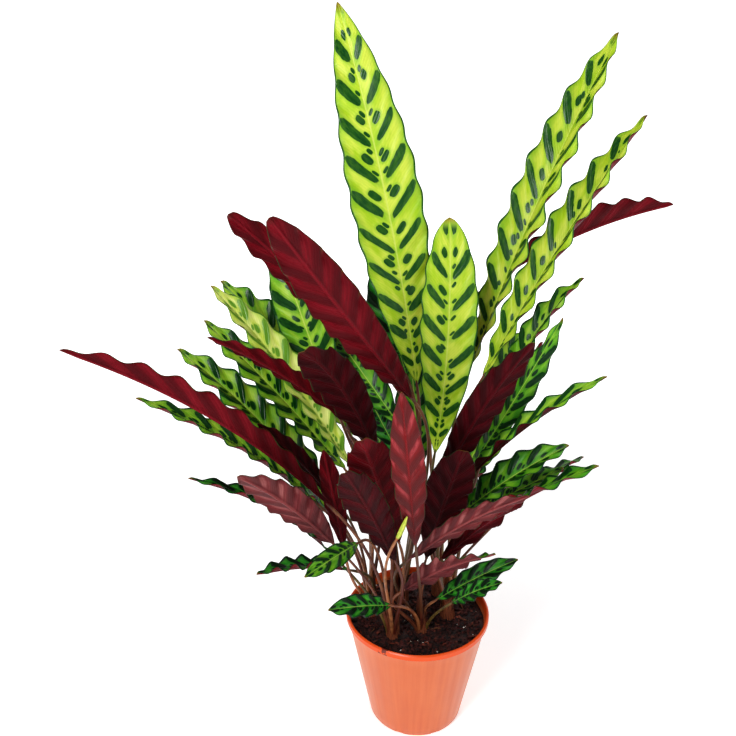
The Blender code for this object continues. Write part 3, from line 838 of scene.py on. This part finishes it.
def blade_under(name, colours, shine=0.12, highlight_share=0.2):
    """The underside: burgundy, creased in chevrons along the side veins, with a raised rib. The
    valleys between the veins are darkened with painted shade, and the last argument is how
    strongly a painted highlight pales one side of each valley."""
    ground, bright, crease_shade, rib = (paint(*colour) for colour in colours)
    made, shader = new_finish(name)
    phase, v, _ = shader.uv("pattern")
    s, _, _ = shader.uv("blade")
    out = abs(v)
    cloud = shader.noise(shader.joined(phase, v * 1.5, 7.0), 1.1, 4.0)
    grain = shader.noise(shader.joined(phase * 16, v * 3, 9.0), 3.0, 3.0)
    fold = (phase * math.pi).maths("SINE").maths("ABSOLUTE")
    fine = (phase * 2 * math.pi * 8).maths("SINE")
    colour = ((cloud * 0.7 + grain * 0.3).ramp(0.34, 0.66) * 0.6).mix(ground, rib)
    # Painted shade: darker in the valleys between the side veins.
    colour = (fold.ramp(0.40, 1.0) * 0.5).mix(colour, crease_shade)
    # Painted highlight: one side of each valley is paled, more away from the midrib.
    flank_highlight = (phase * 2 * math.pi + 0.9).maths("SINE").ramp(0.30, 0.95) * cloud.ramp(0.38, 0.58)
    colour = (flank_highlight * out.ramp(0.06, 0.25) * highlight_share).mix(colour, bright)
    vein = fold.ramp(0.10, 0.02) * out.ramp(1.0, 0.7) * 0.3
    colour = vein.mix(colour, rib)
    colour = (fine * 0.04 + 0.05).mix(colour, crease_shade)
    colour = (out.ramp(0.10, 0.03) * 0.75).mix(colour, rib)
    colour = (out.ramp(0.955, 0.985) * 0.6).mix(colour, paint(46, 58, 20))
    colour = (s.ramp(0.965, 1.0) * 0.6).mix(colour, paint(60, 30, 20))
    colour = (s.ramp(0.55, 0.0) * 0.6).mix(colour, crease_shade)
    relief = fold.ramp(0.35, 0.0) * 0.7 + fine * 0.10 + grain * 0.22
    shader.feed(
        {
            "Base Color": colour,
            "Roughness": 0.40 + grain * 0.14,
            "Normal": shader.bump(relief, 0.0008, 0.8),
            "Specular IOR Level": shine,
        }
    )
    return made


tops = {
    "lime": blade_top(
        "lime_blade",
        ((176, 204, 44), (212, 222, 84), (112, 172, 38), (15, 72, 26), (36, 92, 34)),
    ),
    "pale": blade_top(
        "pale_blade",
        ((208, 222, 86), (236, 236, 144), (146, 186, 62), (104, 152, 46), (78, 126, 40)),
    ),
    "fresh": blade_top(
        "fresh_blade",
        ((134, 190, 44), (180, 214, 68), (66, 140, 36), (10, 62, 24), (18, 78, 26)),
        reach=0.40, spread=0.21, edge=0.06,
    ),
    "green": blade_top(
        "green_blade",
        ((84, 160, 36), (134, 192, 50), (40, 112, 28), (8, 50, 20), (12, 58, 20)),
        reach=0.41, spread=0.22, edge=0.07,
    ),
    # A darker copy of the green for low and inner leaves: partly painted shade.
    "deep": blade_top(
        "shaded_deep_blade",
        ((42, 140, 38), (80, 170, 52), (16, 80, 26), (5, 34, 15), (7, 42, 17)),
        reach=0.42, spread=0.25, edge=0.08,
    ),
}
# Each underside's colours are its ground, a painted highlight, a painted shade for the creases and
# its rib.
undersides = {
    "burgundy": blade_under(
        "burgundy_underside",
        ((104, 10, 26), (150, 30, 46), (46, 4, 13), (120, 24, 36)),
    ),
    # A darker copy of the burgundy: painted shade for undersides in the middle of the plant.
    "shaded_wine": blade_under(
        "shaded_wine_underside",
        ((70, 7, 20), (108, 18, 34), (26, 3, 9), (84, 16, 26)),
    ),
    # A paler, pinker copy of the burgundy with a strong highlight: painted sheen of light.
    "sheened_rose": blade_under(
        "sheened_rose_underside",
        ((106, 32, 38), (170, 104, 102), (52, 10, 16), (140, 68, 68)),
        shine=0.25, highlight_share=0.6,
    ),
    # A redder copy of the burgundy with a strong highlight: painted light for the lit centre leaf.
    "scarlet": blade_under(
        "lit_scarlet_underside",
        ((112, 5, 16), (202, 84, 90), (58, 2, 9), (128, 10, 20)),
        shine=0.3, highlight_share=0.5,
    ),
}


def thicken(sheet, thickness, offset):
    """Gives a sheet its thickness: outwards at 1, inwards at -1, and half each way at 0."""
    made = sheet.modifiers.new("Thickness", "SOLIDIFY")
    made.thickness = thickness
    made.offset = offset
    return made


for index, item in enumerate(LEAVES):
    shape = blade_shape(item, index)
    blade = add_piece(
        item["name"] + "_blade", shape, tops[item["above"]], undersides[item["below"]]
    )
    blade.vertex_groups.new(name="thickness")
    body = thicken(blade, RIB_THICKNESS, -1)
    body.vertex_group = "thickness"
    body.material_offset = 1
    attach(blade, "root")
    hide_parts("blade_" + item["name"])

# New leaf
# The youngest blade, still rolled round its midrib into a slim cigar, yellow-green and soft. It
# stands on its own stalk in front, and unrolls as it grows.

ROLL_TURNS = 1.7
ROLL_RADIUS = 0.0024
ROLL_GROWTH = 0.0009
ROLL_ROWS = 40
ROLL_COLUMNS = 64
ROLL_THICKNESS = 0.0003
new_leaf = leaf(
    "new_leaf_roll", "front_left", (-0.030, -0.110, 0.315), (-0.020, -0.115, 0.345),
    0.010, (0, 0), "fresh", fold=50, wave=0.00
)
LEAVES.append(new_leaf)


def new_leaf_finish():
    made, shader = new_finish("new_leaf")
    s, around, _ = shader.uv("roll")
    lines = (around * 60 + s * 14).maths("SINE")
    cloud = shader.noise(shader.joined(s * 3, around * 2, 0.0), 2.0, 3.0)
    colour = cloud.ramp(0.3, 0.7).mix(paint(176, 196, 52), paint(214, 216, 96))
    colour = (lines * 0.12 + 0.12).mix(colour, paint(110, 150, 36))
    colour = s.ramp(0.16, 0.0).mix(colour, paint(170, 60, 40))
    shader.feed(
        {
            "Base Color": colour,
            "Roughness": 0.38,
            "Normal": shader.bump(lines, 0.0002, 0.6),
            "Coat Weight": 0.15,
        }
    )
    return made


shape = bmesh.new()
bmesh.ops.create_grid(shape, x_segments=ROLL_COLUMNS, y_segments=ROLL_ROWS, size=1)
roll_map = shape.loops.layers.uv.new("roll")
lay_map(shape.verts, roll_map)
for vertex in shape.verts:
    s, around = (vertex.co.y + 1) / 2, (vertex.co.x + 1) / 2
    point, _, up, side = midrib(new_leaf, s)
    body = math.sin(math.pi * min(0.12 + 0.88 * s, 1)) ** 0.6
    turn = 2 * math.pi * ROLL_TURNS * around + 2.4 * s
    reach = (ROLL_RADIUS - ROLL_GROWTH * around) * body + 0.0002
    vertex.co = point + up * (math.cos(turn) * reach) + side * (math.sin(turn) * reach)
roll = add_piece("new_leaf_blade", shape, new_leaf_finish())
thicken(roll, ROLL_THICKNESS, 0)
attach(roll, "root")
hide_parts("blade_new_leaf_roll")

# Leaf stalks
# Each leaf stands on its own stalk, thick where its sheath grips the root crown, slim above, and
# swollen again in a short red joint under the blade. The stalks of a shoot grow from one crown.

STALK_RADIUS = 0.0017
STALK_SHAPE = (1.50, 1.30, 1.12, 1.00, 1.00, 1.12, 0.80)
STALK_SPREAD = 0.0035
STALK_ROOT = 0.008
STALK_JOINT = 0.010
STALK_SINK = 0.004
SHEATH_SWELL = 0.30
STALK_STEPS = 30
JOINT_STEPS = 6
STALK_SIDES = 14
CROWN_RADIUS = 0.0095
CROWN_DEPTH = 0.022
CROWN_RISE = 0.004


def stalk_route(item):
    """Up out of the crown, through the short straight joint, and into the base of the blade."""
    base, along, _, _ = midrib(item, 0)
    joint = base - along * STALK_JOINT
    x, y = SHOOTS[item["shoot"]]
    outward = Vector((joint.x - x, joint.y - y, 0)).normalized()
    foot = Vector((x, y, SOIL_LEVEL - STALK_ROOT)) + outward * STALK_SPREAD
    rise = joint - foot
    reach = rise.length
    low = foot + Vector((0, 0, reach / 3)) + Vector((rise.x, rise.y, 0)) * 0.05
    high = joint - along * reach / 3
    route = []
    for k in range(STALK_STEPS + 1):
        u = k / STALK_STEPS
        route.append(
            foot * (1 - u) ** 3
            + low * 3 * u * (1 - u) ** 2
            + high * 3 * u**2 * (1 - u)
            + joint * u**3
        )
    for k in range(1, JOINT_STEPS + 1):
        route.append(joint + along * (STALK_JOINT + STALK_SINK) * k / JOINT_STEPS)
    return route, Vector((-outward.y, outward.x, 0))


def stalk_width(u):
    """The stalk's thickness at u along it, read smoothly between the shape's values."""
    place = min(u, 0.9999) * (len(STALK_SHAPE) - 1)
    k = int(place)
    share = place - k
    share = share * share * (3 - 2 * share)
    return STALK_SHAPE[k] * (1 - share) + STALK_SHAPE[k + 1] * share


REDNESS = {"lime": 0.35, "pale": 0.2, "fresh": 0.45, "green": 0.75, "deep": 0.3}


def stalk_finish():
    made, shader = new_finish("leaf_stalks")
    along, around, _ = shader.uv("UVMap")
    red, chance, _ = shader.uv("mark")
    place = shader.place()
    streaks = shader.noise(shader.joined(around * 14, along * 6, chance * 50), 1.0, 3.0)
    cloud = shader.noise(place, 45.0, 3.0)
    tone = streaks * 0.6 + cloud * 0.4
    tan = tone.ramp(0.42, 0.66).mix(paint(92, 40, 24), paint(198, 134, 86))
    olive = tone.ramp(0.35, 0.65).mix(paint(64, 48, 24), paint(142, 120, 58))
    brown = tone.ramp(0.3, 0.7).mix(paint(34, 7, 9), paint(104, 32, 26))
    foot = chance.ramp(0.45, 0.75).mix(tan, olive)
    colour = (along + (cloud - 0.5) * 0.7 + red * 0.4 + chance * 0.2 - 0.2).ramp(0.05, 0.50)
    colour = colour.mix(foot, brown)
    scarlet = tone.ramp(0.3, 0.7).mix(paint(104, 8, 20), paint(172, 34, 38))
    colour = (along * 0.9 + red * 0.5).ramp(0.60, 1.05).mix(colour, scarlet)
    colour = (cloud.ramp(0.58, 0.70) * 0.6).mix(colour, paint(44, 22, 16))
    shader.feed(
        {
            "Base Color": colour,
            "Roughness": 0.42 + cloud * 0.15,
            "Normal": shader.bump(streaks, 0.0004, 0.7),
            "Coat Weight": 0.2,
        }
    )
    return made


def crown_finish():
    made, shader = new_finish("root_crown")
    place = shader.place()
    x, y, z = place.parts()
    rings = shader.noise(shader.joined(x, y, z * 6), 120.0, 4.0)
    shader.feed(
        {
            "Base Color": rings.ramp(0.35, 0.65).mix(paint(58, 30, 18), paint(140, 84, 44)),
            "Roughness": 0.75,
            "Normal": shader.bump(rings, 0.0012, 1.0),
        }
    )
    return made


def add_crown(shape, x, y):
    """The knobbly top of the root crown, from under the soil to just above it."""
    made = bmesh.ops.create_uvsphere(shape, u_segments=24, v_segments=16, radius=1)["verts"]
    for vertex in made:
        u = vertex.co.copy()
        swell = 1 + 0.14 * noise.noise(Vector((u.x * 2 + x * 90, u.y * 2 + y * 90, u.z * 3)))
        low, high = SOIL_LEVEL - CROWN_DEPTH, SOIL_LEVEL + CROWN_RISE
        height = (low + high) / 2 + (high - low) / 2 * u.z
        across_it = CROWN_RADIUS * 0.93 * swell
        vertex.co = (x + u.x * across_it, y + u.y * across_it, height)
        for face in vertex.link_faces:
            face.material_index = 1


stalks = stalk_finish()
crown = crown_finish()
for shoot, (x, y) in SHOOTS.items():
    shape = bmesh.new()
    for item in LEAVES:
        if item["shoot"] != shoot:
            continue
        route, sideways = stalk_route(item)
        last = len(route) - 1
        slim = draw.uniform(0.76, 0.90)
        radii = []
        for k in range(last + 1):
            sheath = SHEATH_SWELL * (1 - k / last)
            radii.append(STALK_RADIUS * (slim + sheath) * stalk_width(k / last))
        radii[-1] *= 0.55
        mark = (REDNESS[item["above"]], draw.random())
        if item["below"] in ("scarlet", "shaded_wine", "sheened_rose"):
            mark = (1.0, mark[1])
        add_tube(shape, route, radii, sideways, STALK_SIDES, mark)
    add_crown(shape, x, y)
    close_up(shape)
    piece = add_piece(shoot + "_shoot", shape, stalks, crown)
    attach(piece, "root")
    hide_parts("stalks_" + shoot)

# Sheath scales
# Short papery scales, left from the first leaves of each shoot. They stay wrapped round the foot
# of the stalks, dry and brown, with their tips standing free.

SCALES_PER_SHOOT = 7
SCALE_ROWS = 12
SCALE_COLUMNS = 10
SCALE_THICKNESS = 0.00035


def scale_finish():
    made, shader = new_finish("dry_scales")
    along, around, _ = shader.uv("scale")
    lines = shader.noise(shader.joined(around * 40, along * 3, 0.0), 1.0, 3.0)
    colour = lines.ramp(0.35, 0.65).mix(paint(58, 20, 15), paint(160, 96, 64))
    colour = along.ramp(0.55, 1.0).mix(colour, paint(60, 20, 18))
    shader.feed(
        {
            "Base Color": colour,
            "Roughness": 0.6,
            "Normal": shader.bump(lines, 0.0004, 0.9),
        }
    )
    return made


shape = bmesh.new()
scale_map = shape.loops.layers.uv.new("scale")
for x, y in SHOOTS.values():
    for k in range(SCALES_PER_SHOOT):
        facing = 2 * math.pi * (k + draw.random() * 0.6) / SCALES_PER_SHOOT
        height = draw.uniform(0.012, 0.052)
        reach = CROWN_RADIUS * draw.uniform(0.78, 0.98)
        made = bmesh.ops.create_grid(
            shape, x_segments=SCALE_COLUMNS, y_segments=SCALE_ROWS, size=1
        )["verts"]
        lay_map(made, scale_map)
        for vertex in made:
            u, s = vertex.co.x, (vertex.co.y + 1) / 2
            turn = facing + u * 0.85 * (1 - s**1.8)
            radius = reach * (1 - 0.35 * s + 0.30 * s**3)
            radius += 0.0004 * math.sin(9 * u + 5 * s + k)
            vertex.co = (
                x + radius * math.cos(turn),
                y + radius * math.sin(turn),
                SOIL_LEVEL - 0.004 + (height + 0.004) * s,
            )
bmesh.ops.remove_doubles(shape, verts=shape.verts, dist=0.000001)
scales = add_piece("sheath_scales", shape, scale_finish())
thicken(scales, SCALE_THICKNESS, 1)
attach(scales, "root")

# Studio
# A white floor that glows with painted light, dim near the plant and full white farther out,
# even white light all round, and soft lights from the front left, the front right and behind.
# The camera looks down on the plant from the front.

CAMERA_PLACE = (-0.059, -0.881, 0.826)
CAMERA_TILT = 22.77
FOCAL_PIXELS = 900.0
PICTURE_PIXELS = 736
SENSOR_WIDTH = 36.0

ROOM_RADIUS = 14.0
ROOM_LIGHT = 0.26

shape = bmesh.new()
bmesh.ops.create_circle(shape, cap_ends=True, segments=96, radius=ROOM_RADIUS)
white, shader = new_finish("white_floor")
place = shader.place()
x, y, _ = place.parts()
away = ((x * x + y * y) ** 0.5).ramp(0.45, 1.8)
shader.feed(
    {
        "Base Color": shader.noise(place, 3.0, 2.0).mix(paint(244, 244, 245), paint(250, 250, 250)),
        "Roughness": 0.9,
        # Painted light: the floor glows at 0.4 near the plant, rising to full white from 0.45 m to
        # 1.8 m out.
        "Emission Color": away.mix((0.40, 0.40, 0.40, 1.0), (1.0, 1.0, 1.0, 1.0)),
        "Emission Strength": 1.0,
    }
)
floor = add_piece("floor", shape, white)

shape = bmesh.new()
bmesh.ops.create_uvsphere(shape, u_segments=64, v_segments=32, radius=ROOM_RADIUS * 1.01)
bmesh.ops.reverse_faces(shape, faces=shape.faces)
bright, shader = new_finish("white_room")
shader.feed(
    {
        "Base Color": (0.0, 0.0, 0.0, 1.0),
        "Specular IOR Level": 0.0,
        "Emission Color": (1.0, 1.0, 1.0, 1.0),
        "Emission Strength": 1.1,
    }
)
room = add_piece("room", shape, bright)
for lit in ("visible_diffuse", "visible_glossy", "visible_transmission", "visible_shadow"):
    setattr(room, lit, False)

world = bpy.data.worlds.new("room_light")
world.use_nodes = True
background = world.node_tree.nodes["Background"].inputs
background["Color"].default_value = (1.0, 1.0, 1.0, 1.0)
background["Strength"].default_value = ROOM_LIGHT
scene = bpy.context.scene
scene.world = world


def soft_light(name, place, aim, size, power):
    light = bpy.data.lights.new(name, "AREA")
    light.shape = "DISK"
    light.size = size
    light.energy = power
    made = bpy.data.objects.new(name, light)
    made.location = place
    made.rotation_euler = (Vector(aim) - Vector(place)).to_track_quat("-Z", "Y").to_euler()
    bpy.context.scene.collection.objects.link(made)


soft_light("key_light", (-1.1, -1.8, 1.9), (0.0, 0.0, 0.35), 0.8, 34)
soft_light("fill_light", (1.6, -1.3, 1.2), (0.0, 0.0, 0.35), 1.4, 7)
soft_light("back_light", (0.5, 1.9, 1.8), (0.0, 0.0, 0.40), 1.2, 13)

eye = bpy.data.cameras.new("camera")
eye.lens = FOCAL_PIXELS * SENSOR_WIDTH / PICTURE_PIXELS
eye.sensor_width = SENSOR_WIDTH
eye.clip_start = 0.02
eye.clip_end = 50
camera = bpy.data.objects.new("camera", eye)
camera.location = CAMERA_PLACE
camera.rotation_euler = (math.radians(90 - CAMERA_TILT), 0, 0)
scene.collection.objects.link(camera)
scene.camera = camera
scene.view_settings.view_transform = "Standard"
scene.view_settings.look = "Medium High Contrast"
